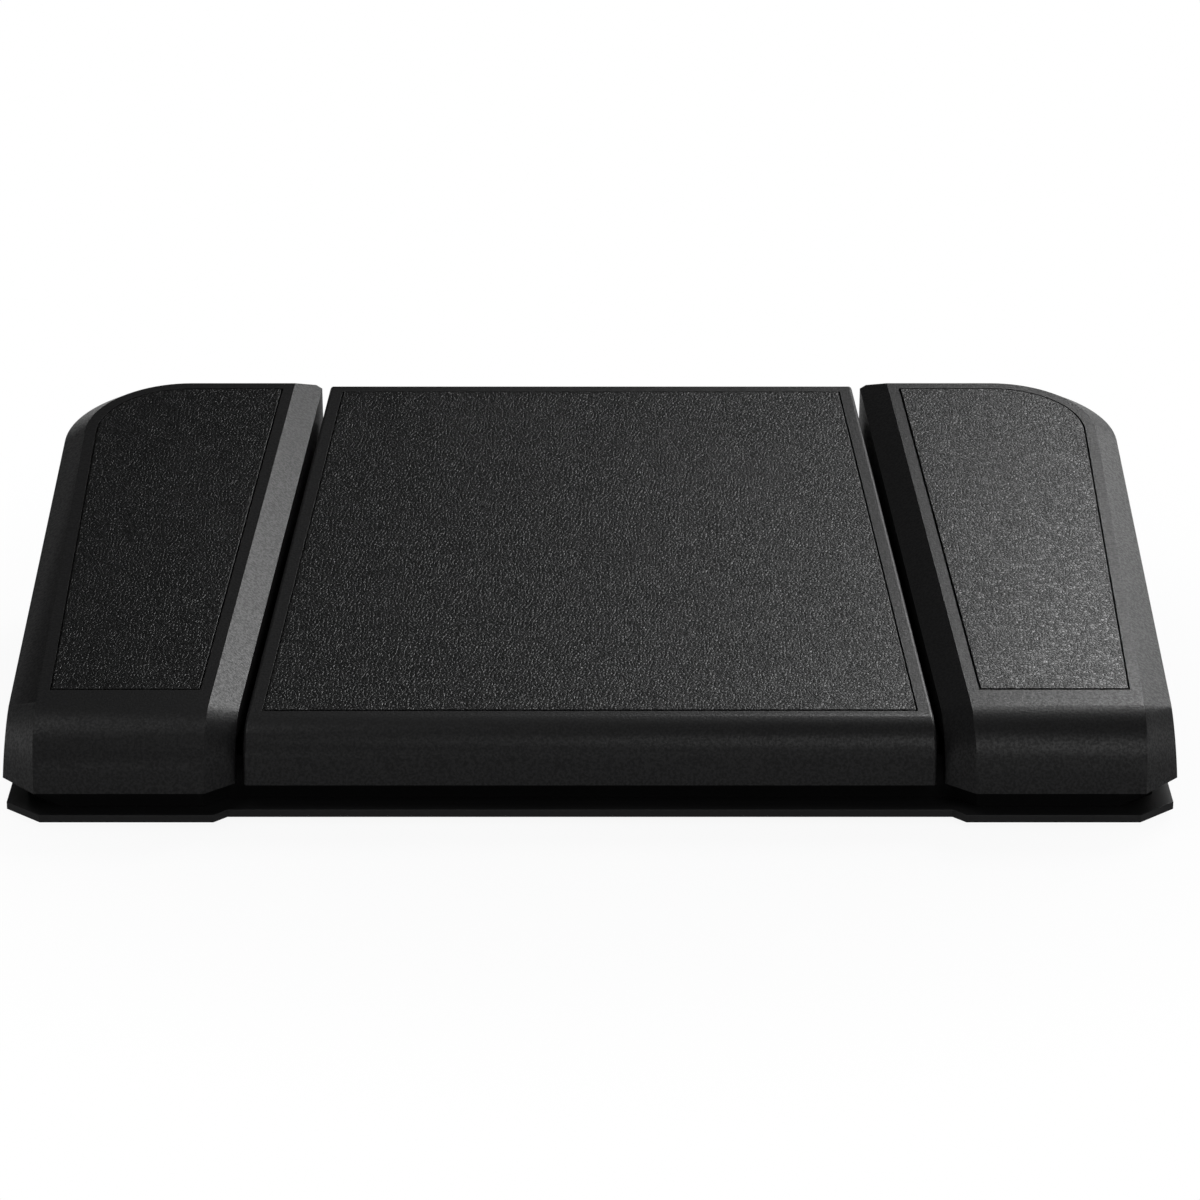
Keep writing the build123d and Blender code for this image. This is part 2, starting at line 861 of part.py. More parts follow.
def helix_point(x, turn):
    """Point and direction of the spring's wire after a number of turns."""
    radius = spring_diameter / 2
    rise = (spring_height - spring_wire) / spring_turns
    angle = 2 * pi * turn
    bottom = spring_bottom + spring_wire / 2
    place = Vector(x + radius * cos(angle), spring_y + radius * sin(angle), bottom + rise * turn)
    heading = Vector(-radius * sin(angle), radius * cos(angle), rise / (2 * pi)).normalized()
    return place, heading


def climbing_arcs(start, start_way, end, end_way):
    """Two arcs in line with each other that join two points of the wire."""
    step = end - start
    lean = step.dot(start_way + end_way)
    spread = 2 * (1 - start_way.dot(end_way))
    reach = (-lean + (lean * lean + spread * step.dot(step)) ** 0.5) / spread
    near = start + start_way * reach
    far = end - end_way * reach
    joint = (near + far) * 0.5
    first = TangentArc(start, joint, tangent=start_way)
    second = TangentArc(joint, end, tangent=(far - near).normalized())
    return [first, second]


def least_gap(path):
    """Smallest distance between the spring's turns, measured on points of its wire."""
    count = spring_turns * wire_samples
    points = [path.position_at(i / count) for i in range(count + 1)]
    apart = [
        (points[i] - points[j]).length
        for i in range(count + 1)
        for j in range(i + wire_samples // 2, count + 1)
    ]
    return min(apart) - spring_wire


def make_spring(x):
    """Compression spring of round wire, its turns swept on arcs of a quarter turn."""
    arcs = []
    for half_turn in range(2 * spring_turns):
        start, start_way = helix_point(x, half_turn / 2)
        end, end_way = helix_point(x, (half_turn + 1) / 2)
        arcs += climbing_arcs(start, start_way, end, end_way)
    path = Wire([arc.edge() for arc in arcs])
    section = Plane(origin=path @ 0, z_dir=path % 0) * Circle(spring_wire / 2)
    print(f"spring at X {x:.1f}: least gap to itself {least_gap(path):.2f} mm")
    return sweep(section, path=path)


def make_board():
    """Circuit board with a strip under the switches and a tongue to the inlet."""
    strip = box_between(
        (-board_half_length, switch_y - board_strip / 2, board_bottom),
        (board_half_length, switch_y + board_strip / 2, board_top),
    )
    rear = back - port_block_setback - port_block_depth - screw_clearance
    tongue = box_between(
        (-board_tongue / 2, switch_y, board_bottom), (board_tongue / 2, rear, board_top)
    )
    board = strip + tongue
    for x, y in standoff_places():
        board -= post(x, y, board_bottom, board_top, board_screw_diameter + 2 * screw_clearance)
    return board


def make_board_screws():
    """Screws from above, through the board into its posts."""
    return [
        screw(
            x, y, board_top + board_screw_head_height, board_screw_head, board_screw_head_height,
            board_screw_diameter, board_screw_length, up=False,
        )
        for x, y in standoff_places()
    ]


def make_switch(x):
    """Snap switch body with its plunger's well."""
    body = box_between(
        (x - switch_length / 2, switch_y - switch_depth / 2, board_top),
        (x + switch_length / 2, switch_y + switch_depth / 2, board_top + switch_height),
    )
    body = chamfer(body.edges().filter_by(Axis.Z), switch_edge)
    half = plunger_length / 2 + plunger_clearance
    deep = plunger_depth / 2 + plunger_clearance
    travel = (switch_from_hinge + actuator_depth / 2) * radians(pedal_travel_angle)
    bottom = board_top + switch_height - plunger_hidden - travel - plunger_clearance
    return body - box_between((x - half, switch_y - deep, bottom), (x + half, switch_y + deep, everything))


def make_plunger(x):
    """Plunger that slides in a switch."""
    return box_between(
        (x - plunger_length / 2, switch_y - plunger_depth / 2, board_top + switch_height - plunger_hidden),
        (x + plunger_length / 2, switch_y + plunger_depth / 2, plunger_top),
    )


def stadium(span, tall, grow=0.0):
    """Upright face with round ends, seen from behind."""
    return RectangleRounded(span + 2 * grow, tall + 2 * grow, tall / 2 + grow - round_end_slack)


def rear_prism(face, near, far):
    """Prism along Y, centred on the inlet."""
    plane = Plane(origin=(0, far, inlet_middle), x_dir=(1, 0, 0), z_dir=(0, -1, 0))
    return extrude(plane * face, amount=far - near)


def make_inlet():
    """USB inlet: a drawn steel sleeve with its contact tongue."""
    far = back - port_block_setback - port_recess_depth
    near = far - inlet_length
    sleeve = rear_prism(stadium(inlet_width, inlet_height), near, far)
    sleeve -= rear_prism(stadium(inlet_width, inlet_height, -inlet_wall), near + inlet_tongue_setback, far)
    tongue = Rectangle(inlet_tongue_width, inlet_tongue_height)
    return sleeve + rear_prism(tongue, near, far - inlet_tongue_setback)


def make_port_block():
    """Moulded block round the inlet, with a recess for the plug's grip."""
    far = back - port_block_setback
    near = far - port_block_depth
    block = box_between((-port_block_width / 2, near, floor_top), (port_block_width / 2, far, block_top))
    top = block.edges().filter_by(Axis.Y).filter_by(lambda e: e.center().Z > inlet_middle)
    block = fillet(top, port_block_corner)
    recess = RectangleRounded(port_recess_width, port_recess_height, port_recess_corner)
    block -= rear_prism(recess, far - port_recess_depth, far + overrun)
    block -= rear_prism(stadium(inlet_width, inlet_height, screw_clearance), near - overrun, far)
    return block - box_between(
        (-inlet_width, near - overrun, board_bottom), (inlet_width, near, everything)
    )


def make_chip():
    """Controller chip on the board."""
    return Pos(0, hinge_y - chip_from_hinge - chip_size, board_top + chip_height / 2) * Box(
        chip_size, chip_size, chip_height
    )


def make_pin(x_low, x_high):
    """Steel hinge pin pressed into its two outer ears."""
    return crosswise(x_low, x_high, hinge_y, hinge_height, pin_diameter / 2)


def make_bumpers():
    """Rubber bumpers that end each pedal's travel."""
    stations = (wing_station, centre_station, -centre_station, -wing_station)
    return [
        fillet(
            post(x, bumper_y, floor_top, floor_top + bumper_height, bumper_diameter)
            .edges().sort_by(Axis.Z)[-1],
            edge_softening,
        )
        for x in stations
    ]


def mirrored(solid):
    """Left copy of a right piece."""
    return mirror(solid, about=Plane.YZ)


def save(name, solids):
    """Write one named piece or group of pieces."""
    group = solids if isinstance(solids, list) else [solids]
    shape = Compound(children=[part for entry in group for part in entry.solids()])
    shape.label = name
    export_step(shape, f"parts/{name}.step")


def save_pedals():
    """Covers, pads, frames and their screws."""
    wing_cover = make_wing_cover()
    centre_cover = make_centre_cover()
    wing_cover = add_bosses(wing_cover, nose_height, (wing_station,))
    centre_cover = add_bosses(centre_cover, centre_height, (centre_station, -centre_station))
    save("right_pedal_cover", wing_cover)
    save("left_pedal_cover", mirrored(wing_cover))
    save("centre_pedal_cover", centre_cover)
    wing_pad = make_pad(wing_pad_outline, nose_height)
    save("right_pad", wing_pad)
    save("left_pad", mirrored(wing_pad))
    save("centre_pad", make_pad(centre_pad_outline, centre_height))
    wing_frame = make_frame(wing_deck_outline(), nose_height, wing_lugs(), (wing_station,), wing_station)
    outer = centre_outer_lug
    inner = centre_inner_lug
    lugs = (outer, inner, -outer - lug_width, -inner - lug_width)
    stations = (centre_station, -centre_station)
    centre_frame = make_frame(centre_deck_outline(), centre_height, lugs, stations, 0.0)
    save("right_pedal_frame", wing_frame)
    save("left_pedal_frame", mirrored(wing_frame))
    save("centre_pedal_frame", centre_frame)
    wing_screws = frame_screws(nose_height, (wing_station,))
    save("right_frame_screws", wing_screws)
    save("left_frame_screws", [mirrored(part) for part in wing_screws])
    save("centre_frame_screws", frame_screws(centre_height, stations))


def save_base():
    """Plate, feet, tray and what is fixed to them."""
    save("base_plate", make_base_plate())
    save("rubber_feet", make_feet())
    save("base_screws", make_base_screws())
    save("base_tray", make_tray())
    save("rubber_bumpers", make_bumpers())
    save("usb_port_block", make_port_block())
    save("usb_inlet", make_inlet())
    save("circuit_board", make_board())
    save("board_screws", make_board_screws())
    save("controller_chip", make_chip())
    places = ear_places()
    wing_pin = make_pin(places[0], places[1] + ear_thickness)
    save("right_hinge_pin", wing_pin)
    save("left_hinge_pin", mirrored(wing_pin))
    centre_end = places[2] + ear_thickness
    save("centre_hinge_pin", make_pin(-centre_end, centre_end))


def save_switches():
    """Switch bodies and their plungers."""
    for name, x in (("right", wing_station), ("centre", 0.0), ("left", -wing_station)):
        save(f"{name}_switch_body", make_switch(x))
        save(f"{name}_switch_plunger", make_plunger(x))


def save_springs():
    """Return springs, one for each outer pedal and two for the middle one."""
    save("right_spring", make_spring(wing_station))
    save("left_spring", make_spring(-wing_station))
    save("centre_spring_right", make_spring(centre_station))
    save("centre_spring_left", make_spring(-centre_station))


os.makedirs("parts", exist_ok=True)
save_pedals()
save_base()
save_switches()
save_springs()
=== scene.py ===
"""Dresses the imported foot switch: rounds its moulded edges, gives every piece its finish and lights it.

The switch has three pedals side by side on one base. Each pedal is a moulded cover with a grained pad let
into its top. Everything is in metres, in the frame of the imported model.
"""
import json
import logging
import math
from dataclasses import dataclass, field
from enum import Enum

import bmesh
import bpy
from mathutils import Matrix, Vector


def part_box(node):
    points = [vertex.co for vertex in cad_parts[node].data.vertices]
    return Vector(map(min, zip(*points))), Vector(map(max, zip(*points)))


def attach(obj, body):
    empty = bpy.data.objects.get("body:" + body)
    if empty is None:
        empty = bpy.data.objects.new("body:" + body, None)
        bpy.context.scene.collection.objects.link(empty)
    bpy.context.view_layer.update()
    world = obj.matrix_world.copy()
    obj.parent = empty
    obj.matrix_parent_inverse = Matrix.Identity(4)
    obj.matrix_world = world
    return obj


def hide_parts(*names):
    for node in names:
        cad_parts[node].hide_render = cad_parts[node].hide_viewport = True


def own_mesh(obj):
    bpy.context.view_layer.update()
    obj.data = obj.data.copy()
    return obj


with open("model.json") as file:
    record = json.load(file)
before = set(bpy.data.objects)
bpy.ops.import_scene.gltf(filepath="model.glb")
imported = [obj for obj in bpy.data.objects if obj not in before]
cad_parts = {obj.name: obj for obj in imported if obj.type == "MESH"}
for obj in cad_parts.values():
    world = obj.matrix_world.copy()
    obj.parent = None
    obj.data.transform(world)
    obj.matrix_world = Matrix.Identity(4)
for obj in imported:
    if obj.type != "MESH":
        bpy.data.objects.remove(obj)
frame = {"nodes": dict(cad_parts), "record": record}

LOG = logging.getLogger("foot_switch")
MM = 0.001
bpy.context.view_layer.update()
MERGE_REACH = 0.002 * MM
FLAT_ANGLE = 0.05
ROUNDED_ANGLE = 30.0
BLOCK_ANGLE = 45.0
SMOOTH_ANGLE = 28.0
ROUND_STEPS = 3
LARGE_FACE_LEAD = 50
COOLNESS = 1.03

Colour = tuple[float, float, float]
Point = tuple[float, float, float]


class Side(Enum):
    """The three pedals, by the names that their pieces start with."""

    LEFT = "left"
    CENTRE = "centre"
    RIGHT = "right"


class Rounding(Enum):
    """How far the edges of a piece are rounded, in metres."""

    COVER = 0.75 * MM
    POCKET = 0.05 * MM
    PAD = 0.12 * MM
    SHEET = 0.28 * MM
    MOULDING = 0.3 * MM
    SMALL = 0.12 * MM


class Nodes:
    """A short way to add and join the nodes of one node tree."""

    def __init__(self, tree: bpy.types.NodeTree) -> None:
        """Keeps the tree that the nodes go into."""
        self.tree = tree

    def add(self, kind: str, **values: object) -> bpy.types.Node:
        """Adds a node and sets its properties and inputs.

        Args:
            kind: The node's type name.
            values: Properties by name, or inputs by name with underscores for spaces.

        Returns:
            The new node.
        """
        node = self.tree.nodes.new(kind)
        for name, value in values.items():
            if hasattr(node, name):
                setattr(node, name, value)
            else:
                node.inputs[name.replace("_", " ")].default_value = value
        return node

    def join(self, source: bpy.types.NodeSocket, target: bpy.types.NodeSocket) -> None:
        """Joins an output to an input."""
        self.tree.links.new(source, target)

    def math(self, operation: str, first: object, second: object) -> bpy.types.NodeSocket:
        """Adds a sum or product of two sockets or numbers.

        Args:
            operation: The name of the operation.
            first: A socket or a number.
            second: A socket or a number.

        Returns:
            The socket that holds the result.
        """
        node = self.add("ShaderNodeMath", operation=operation)
        for slot, value in zip(node.inputs, (first, second)):
            if isinstance(value, bpy.types.NodeSocket):
                self.join(value, slot)
            else:
                slot.default_value = value
        return node.outputs[0]

    def ramp(self, source: bpy.types.NodeSocket, low: float, high: float) -> bpy.types.NodeSocket:
        """Maps a value from the span between low and high to 0 and 1, smoothly.

        Args:
            source: The value's socket.
            low: The value that becomes 0.
            high: The value that becomes 1.

        Returns:
            The socket that holds the result.
        """
        node = self.add("ShaderNodeMapRange", interpolation_type="SMOOTHSTEP")
        node.inputs["From Min"].default_value = low
        node.inputs["From Max"].default_value = high
        self.join(source, node.inputs["Value"])
        return node.outputs["Result"]


def new_group(name: str, inputs: dict[str, float], outputs: tuple[str, ...]) -> bpy.types.NodeTree:
    """Starts a shader node group with number inputs and outputs, and a vector input named Place.

    Args:
        name: The group's name.
        inputs: The number inputs and their defaults.
        outputs: The number outputs.

    Returns:
        The group, with its two end nodes named Start and End.
    """
    group = bpy.data.node_groups.new(name, "ShaderNodeTree")
    group.interface.new_socket("Place", in_out="INPUT", socket_type="NodeSocketVector")
    for label, default in inputs.items():
        socket = group.interface.new_socket(label, in_out="INPUT", socket_type="NodeSocketFloat")
        socket.default_value = default
    for label in outputs:
        group.interface.new_socket(label, in_out="OUTPUT", socket_type="NodeSocketFloat")
    start = group.nodes.new("NodeGroupInput")
    start.name = "Start"
    end = group.nodes.new("NodeGroupOutput")
    end.name = "End"
    return group


@dataclass(frozen=True)
class PebbleGrain:
    """Leather grain: rounded pebbles of mixed sizes parted by fine creases, some of them duller. Its mask
    also darkens the creases in colour, as painted shade.
    """

    warp_detail: float = 2.0
    warp_roughness: float = 0.6
    beads_per_pebble: float = 2.3
    bead_smoothness: float = 0.6
    bead_height: float = -0.55
    dome_reach: float = 0.32
    swell_scale: float = 0.35
    swell_height: float = 0.6
    crease_floor: float = 0.02
    crease_reach: float = 0.16
    dullness: float = 0.75
    dull_below: float = 0.35
    bright_above: float = 0.95

    def build(self) -> bpy.types.NodeTree:
        """Makes the group.

        Returns:
            A group with the outputs Height, for a bump, and Dullness And Painted Shade, a mask of the
            duller pebbles and the creases; a finish darkens both, the creases as painted shade and the
            duller pebbles at random.
        """
        sizes = {"Size": 1.0 * MM, "Stretch": 0.35}
        group = new_group("pebble_grain", sizes, ("Height", "Fleck"))
        nodes = Nodes(group)
        start = group.nodes["Start"]
        end = group.nodes["End"]
        per_metre = nodes.math("DIVIDE", 1.0, start.outputs["Size"])
        warp = nodes.add("ShaderNodeTexNoise", Detail=self.warp_detail, Roughness=self.warp_roughness)
        nodes.join(start.outputs["Place"], warp.inputs["Vector"])
        nodes.join(per_metre, warp.inputs["Scale"])
        push = nodes.add("ShaderNodeVectorMath", operation="SCALE")
        nodes.join(warp.outputs["Color"], push.inputs[0])
        reach = nodes.math("MULTIPLY", start.outputs["Size"], start.outputs["Stretch"])
        nodes.join(reach, push.inputs["Scale"])
        moved = nodes.add("ShaderNodeVectorMath", operation="ADD")
        nodes.join(start.outputs["Place"], moved.inputs[0])
        nodes.join(push.outputs["Vector"], moved.inputs[1])
        cells = nodes.add("ShaderNodeTexVoronoi", feature="DISTANCE_TO_EDGE", Randomness=1.0)
        nodes.join(moved.outputs["Vector"], cells.inputs["Vector"])
        nodes.join(per_metre, cells.inputs["Scale"])
        small = nodes.add("ShaderNodeTexVoronoi", feature="SMOOTH_F1", Randomness=1.0)
        small.inputs["Smoothness"].default_value = self.bead_smoothness
        nodes.join(moved.outputs["Vector"], small.inputs["Vector"])
        nodes.join(nodes.math("MULTIPLY", per_metre, self.beads_per_pebble), small.inputs["Scale"])
        dome = nodes.ramp(cells.outputs["Distance"], 0.0, self.dome_reach)
        bead = nodes.math("MULTIPLY", small.outputs["Distance"], self.bead_height)
        swell = nodes.add("ShaderNodeTexNoise", Detail=1.0)
        nodes.join(start.outputs["Place"], swell.inputs["Vector"])
        nodes.join(nodes.math("MULTIPLY", per_metre, self.swell_scale), swell.inputs["Scale"])
        rise = nodes.math("MULTIPLY", swell.outputs["Fac"], self.swell_height)
        height = nodes.math("ADD", nodes.math("ADD", dome, bead), rise)
        nodes.join(height, end.inputs["Height"])
        # Creases: the mask that darkens their colour here is painted shade.
        inside = nodes.ramp(cells.outputs["Distance"], self.crease_floor, self.crease_reach)
        crease_shade = nodes.math("SUBTRACT", 1.0, inside)
        single = nodes.add("ShaderNodeTexVoronoi", feature="F1", Randomness=1.0)
        nodes.join(moved.outputs["Vector"], single.inputs["Vector"])
        nodes.join(per_metre, single.inputs["Scale"])
        chance = nodes.add("ShaderNodeSeparateColor")
        nodes.join(single.outputs["Color"], chance.inputs["Color"])
        bright = nodes.ramp(chance.outputs["Red"], self.dull_below, self.bright_above)
        dull = nodes.math("SUBTRACT", self.dullness, nodes.math("MULTIPLY", bright, self.dullness))
        nodes.join(nodes.math("MAXIMUM", crease_shade, dull), end.inputs["Fleck"])
        return group


@dataclass(frozen=True)
class SparkTexture:
    """Fine spark-eroded texture of a moulded plastic, with a faint cloudiness."""

    detail: float = 3.0
    roughness: float = 0.62
    cloud_detail: float = 2.0
    cloud_roughness: float = 0.5
    land_level: float = 0.62
    pit_level: float = 0.38

    def build(self) -> bpy.types.NodeTree:
        """Makes the group.

        Returns:
            A group with the outputs Height, for a bump, Cloud, a slow mask round a half, and Dullness And
            Painted Shade, a mask of the fine pits, which a finish dulls and darkens as painted shade.
        """
        sizes = {"Size": 0.3 * MM, "Cloud Size": 40 * MM}
        group = new_group("spark_texture", sizes, ("Height", "Cloud", "Fleck"))
        nodes = Nodes(group)
        start = group.nodes["Start"]
        end = group.nodes["End"]
        fine = nodes.add("ShaderNodeTexNoise", Detail=self.detail, Roughness=self.roughness)
        nodes.join(start.outputs["Place"], fine.inputs["Vector"])
        nodes.join(nodes.math("DIVIDE", 1.0, start.outputs["Size"]), fine.inputs["Scale"])
        slow = nodes.add("ShaderNodeTexNoise", Detail=self.cloud_detail, Roughness=self.cloud_roughness)
        nodes.join(start.outputs["Place"], slow.inputs["Vector"])
        nodes.join(nodes.math("DIVIDE", 1.0, start.outputs["Cloud Size"]), slow.inputs["Scale"])
        nodes.join(fine.outputs["Fac"], end.inputs["Height"])
        nodes.join(slow.outputs["Fac"], end.inputs["Cloud"])
        # The low points of the height become a mask that darkens the pits: painted shade.
        pits = nodes.ramp(fine.outputs["Fac"], self.land_level, self.pit_level)
        nodes.join(pits, end.inputs["Fleck"])
        return group


@dataclass(frozen=True)
class GroundLines:
    """Fine lines of a drawn or ground metal, which run along X."""

    detail: float = 2.0
    roughness: float = 0.55

    def build(self) -> bpy.types.NodeTree:
        """Makes the group.

        Returns:
            A group with the outputs Height, for a bump, and Streak, a mask of the lines.
        """
        sizes = {"Size": 0.12 * MM, "Length": 30.0}
        group = new_group("ground_lines", sizes, ("Height", "Streak"))
        nodes = Nodes(group)
        start = group.nodes["Start"]
        end = group.nodes["End"]
        along = nodes.add("ShaderNodeCombineXYZ", Y=1.0, Z=1.0)
        nodes.join(nodes.math("DIVIDE", 1.0, start.outputs["Length"]), along.inputs["X"])
        drawn = nodes.add("ShaderNodeVectorMath", operation="MULTIPLY")
        nodes.join(start.outputs["Place"], drawn.inputs[0])
        nodes.join(along.outputs["Vector"], drawn.inputs[1])
        lines = nodes.add("ShaderNodeTexNoise", Detail=self.detail, Roughness=self.roughness)
        nodes.join(drawn.outputs["Vector"], lines.inputs["Vector"])
        nodes.join(nodes.math("DIVIDE", 1.0, start.outputs["Size"]), lines.inputs["Scale"])
        nodes.join(lines.outputs["Fac"], end.inputs["Height"])
        nodes.join(lines.outputs["Fac"], end.inputs["Streak"])
        return group


class Texture(Enum):
    """The shared surface effects and the names of their groups."""

    PEBBLE = "pebble_grain"
    SPARK = "spark_texture"
    GROUND = "ground_lines"


def make_groups() -> None:
    """Builds the shared surface effects once."""
    for effect in (PebbleGrain(), SparkTexture(), GroundLines()):
        effect.build()


@dataclass(frozen=True)
class Finish:
    """One material: its colours, its gloss and the texture that breaks them up.

    The mask that the texture gives turns the colour from tone to tone_high and the roughness from
    rough_low to rough_high, and the weight of the polished skin from coat to coat_low. On the cover and
    the pad the darker tone_high in the pits and creases is painted shade.
    """

    name: str
    tone: Colour
    tone_high: Colour
    rough_low: float
    rough_high: float
    texture: Texture
    settings: dict[str, float] = field(default_factory=dict)
    bump: float = 0.1
    depth: float = 0.05 * MM
    metallic: float = 0.0
    specular: float = 0.5
    coat: float = 0.0
    coat_low: float = 0.0
    coat_rough: float = 0.1
    mask: str = "Cloud"

    def build(self) -> bpy.types.Material:
        """Makes the material.

        Returns:
            The material, with a Principled shader.
        """
        material = bpy.data.materials.new(self.name)
        material.use_nodes = True
        tree = material.node_tree
        nodes = Nodes(tree)
        shader = tree.nodes["Principled BSDF"]
        shader.inputs["Metallic"].default_value = self.metallic
        shader.inputs["Specular IOR Level"].default_value = self.specular
        place = nodes.add("ShaderNodeTexCoord")
        texture = nodes.add("ShaderNodeGroup", node_tree=bpy.data.node_groups[self.texture.value])
        for label, value in self.settings.items():
            texture.inputs[label].default_value = value
        nodes.join(place.outputs["Object"], texture.inputs["Place"])
        # The colour follows the mask; where it marks pits or creases the darker colour is painted shade.
        blend = nodes.add("ShaderNodeMix", data_type="RGBA")
        blend.inputs["A"].default_value = (*self.tone, 1.0)
        blend.inputs["B"].default_value = (*self.tone_high, 1.0)
        nodes.join(texture.outputs[self.mask], blend.inputs["Factor"])
        nodes.join(blend.outputs["Result"], shader.inputs["Base Color"])
        rough = nodes.add("ShaderNodeMapRange")
        rough.inputs["To Min"].default_value = self.rough_low
        rough.inputs["To Max"].default_value = self.rough_high
        nodes.join(texture.outputs[self.mask], rough.inputs["Value"])
        nodes.join(rough.outputs["Result"], shader.inputs["Roughness"])
        if self.coat:
            shader.inputs["Coat Roughness"].default_value = self.coat_rough
            gloss = nodes.add("ShaderNodeMapRange")
            gloss.inputs["To Min"].default_value = self.coat
            gloss.inputs["To Max"].default_value = self.coat_low
            nodes.join(texture.outputs[self.mask], gloss.inputs["Value"])
            nodes.join(gloss.outputs["Result"], shader.inputs["Coat Weight"])
        bump = nodes.add("ShaderNodeBump", Strength=self.bump, Distance=self.depth)
        nodes.join(texture.outputs["Height"], bump.inputs["Height"])
        nodes.join(bump.outputs["Normal"], shader.inputs["Normal"])
        return material


def grey(value: float) -> Colour:
    """A neutral colour of one brightness, a touch cool."""
    return (value, value, value * COOLNESS)


FINISHES = {
    # The cover's darker tone fills the pits of its texture: painted shade.
    "cover": Finish(
        "satin_cover_plastic", grey(0.011), grey(0.007), 0.35, 0.43, Texture.SPARK,
        {"Size": 0.55 * MM}, 0.70, 0.07 * MM, specular=0.26, coat=0.25, coat_rough=0.38, mask="Fleck",
    ),
    # The pad's darker tone fills the creases of its grain as painted shade, and the duller pebbles at
    # random.
    "pad": Finish(
        "grained_pad_leatherette", grey(0.009), grey(0.003), 0.31, 0.37, Texture.PEBBLE,
        {"Size": 0.76 * MM}, 0.66, 0.12 * MM, specular=0.24, coat=0.95, coat_rough=0.32, mask="Fleck",
    ),
    "tray": Finish(
        "matt_tray_plastic", grey(0.003), grey(0.004), 0.60, 0.70, Texture.SPARK,
        {"Size": 0.4 * MM}, 0.25, 0.04 * MM, specular=0.12,
    ),
    "frame": Finish(
        "glass_filled_frame_plastic", grey(0.022), grey(0.032), 0.5, 0.62, Texture.SPARK,
        {"Size": 0.5 * MM}, 0.3, 0.05 * MM, specular=0.4,
    ),
    "plate": Finish(
        "powder_coated_plate", grey(0.009), grey(0.013), 0.46, 0.56, Texture.SPARK,
        {"Size": 0.7 * MM}, 0.45, 0.06 * MM, specular=0.35,
    ),
    "rubber": Finish(
        "matt_foot_rubber", grey(0.024), grey(0.034), 0.74, 0.86, Texture.SPARK,
        {"Size": 0.6 * MM}, 0.3, 0.05 * MM, specular=0.3,
    ),
    "steel": Finish(
        "ground_steel", (0.50, 0.50, 0.51), (0.62, 0.62, 0.63), 0.26, 0.36, Texture.GROUND,
        {}, 0.15, 0.02 * MM, metallic=1.0, mask="Streak",
    ),
    "spring_steel": Finish(
        "drawn_spring_wire", (0.42, 0.42, 0.43), (0.55, 0.55, 0.55), 0.28, 0.38, Texture.GROUND,
        {}, 0.12, 0.02 * MM, metallic=1.0, mask="Streak",
    ),
    "screw": Finish(
        "black_oxide_screw", grey(0.030), grey(0.050), 0.34, 0.46, Texture.SPARK,
        {"Size": 0.3 * MM}, 0.2, 0.02 * MM, metallic=0.8,
    ),
    "board": Finish(
        "green_solder_mask", (0.010, 0.090, 0.030), (0.016, 0.120, 0.045), 0.26, 0.34, Texture.SPARK,
        {"Size": 1.2 * MM, "Cloud Size": 3 * MM}, 0.1, 0.02 * MM, coat=0.35, coat_low=0.25,
    ),
    "switch": Finish(
        "switch_case_plastic", grey(0.020), grey(0.030), 0.42, 0.52, Texture.SPARK,
        {"Size": 0.4 * MM}, 0.2, 0.03 * MM,
    ),
    "plunger": Finish(
        "red_plunger_plastic", (0.42, 0.035, 0.025), (0.50, 0.045, 0.030), 0.34, 0.42, Texture.SPARK,
        {"Size": 0.3 * MM}, 0.12, 0.02 * MM,
    ),
    "inlet": Finish(
        "plated_inlet_sleeve", (0.58, 0.58, 0.60), (0.68, 0.68, 0.70), 0.18, 0.28, Texture.GROUND,
        {"Size": 0.08 * MM}, 0.1, 0.01 * MM, metallic=1.0, mask="Streak",
    ),
    "contact": Finish(
        "gilt_contacts", (0.75, 0.52, 0.20), (0.85, 0.62, 0.28), 0.2, 0.3, Texture.GROUND,
        {"Size": 0.05 * MM}, 0.1, 0.01 * MM, metallic=1.0, mask="Streak",
    ),
    "chip": Finish(
        "chip_epoxy", grey(0.012), grey(0.018), 0.5, 0.6, Texture.SPARK,
        {"Size": 0.15 * MM}, 0.2, 0.01 * MM, specular=0.35,
    ),
}


class Wardrobe:
    """Makes each finish once and hands it out by its slot."""

    def __init__(self) -> None:
        """Builds the shared groups and every finish."""
        make_groups()
        self.materials = {slot: finish.build() for slot, finish in FINISHES.items()}

    def dress(self, piece: bpy.types.Object, slot: str) -> None:
        """Gives a piece its finish.

        Args:
            piece: The object to dress.
            slot: The name of the finish.
        """
        piece.data.materials.clear()
        piece.data.materials.append(self.materials[slot])


def body_of_node(node: str) -> str:
    """The CAD body that a node rides on."""
    bodies = frame["record"]["behaviour"]["bodies"]
    return next(body for body, names in bodies.items() if node in names)


def slot_of_node(node: str) -> str:
    """The record's material slot of a node."""
    return next(row["material_slot"] for row in frame["record"]["subparts"] if row["node"] == node)


def merged_copy(node: str) -> bmesh.types.BMesh:
    """Copies a CAD node's mesh, merges its loose triangles and clears the lines on its flat faces.

    Args:
        node: The node's name.

    Returns:
        The copy as an open bmesh.
    """
    mesh = bmesh.new()
    mesh.from_mesh(frame["nodes"][node].data)
    bmesh.ops.remove_doubles(mesh, verts=mesh.verts, dist=MERGE_REACH)
    bmesh.ops.dissolve_degenerate(mesh, edges=mesh.edges, dist=MERGE_REACH)
    flat_angle = math.radians(FLAT_ANGLE)
    bmesh.ops.dissolve_limit(mesh, angle_limit=flat_angle, verts=mesh.verts, edges=mesh.edges)
    return mesh


def crease_edges(mesh: bmesh.types.BMesh, least_angle: float) -> list[bmesh.types.BMEdge]:
    """Edges where the surface turns outwards by more than an angle.

    Args:
        mesh: The mesh to look through.
        least_angle: The least turn, in degrees.

    Returns:
        The edges found.
    """
    shared = [edge for edge in mesh.edges if len(edge.link_faces) == 2]
    least = math.radians(least_angle)
    return [edge for edge in shared if edge.calc_face_angle_signed(0.0) > least]


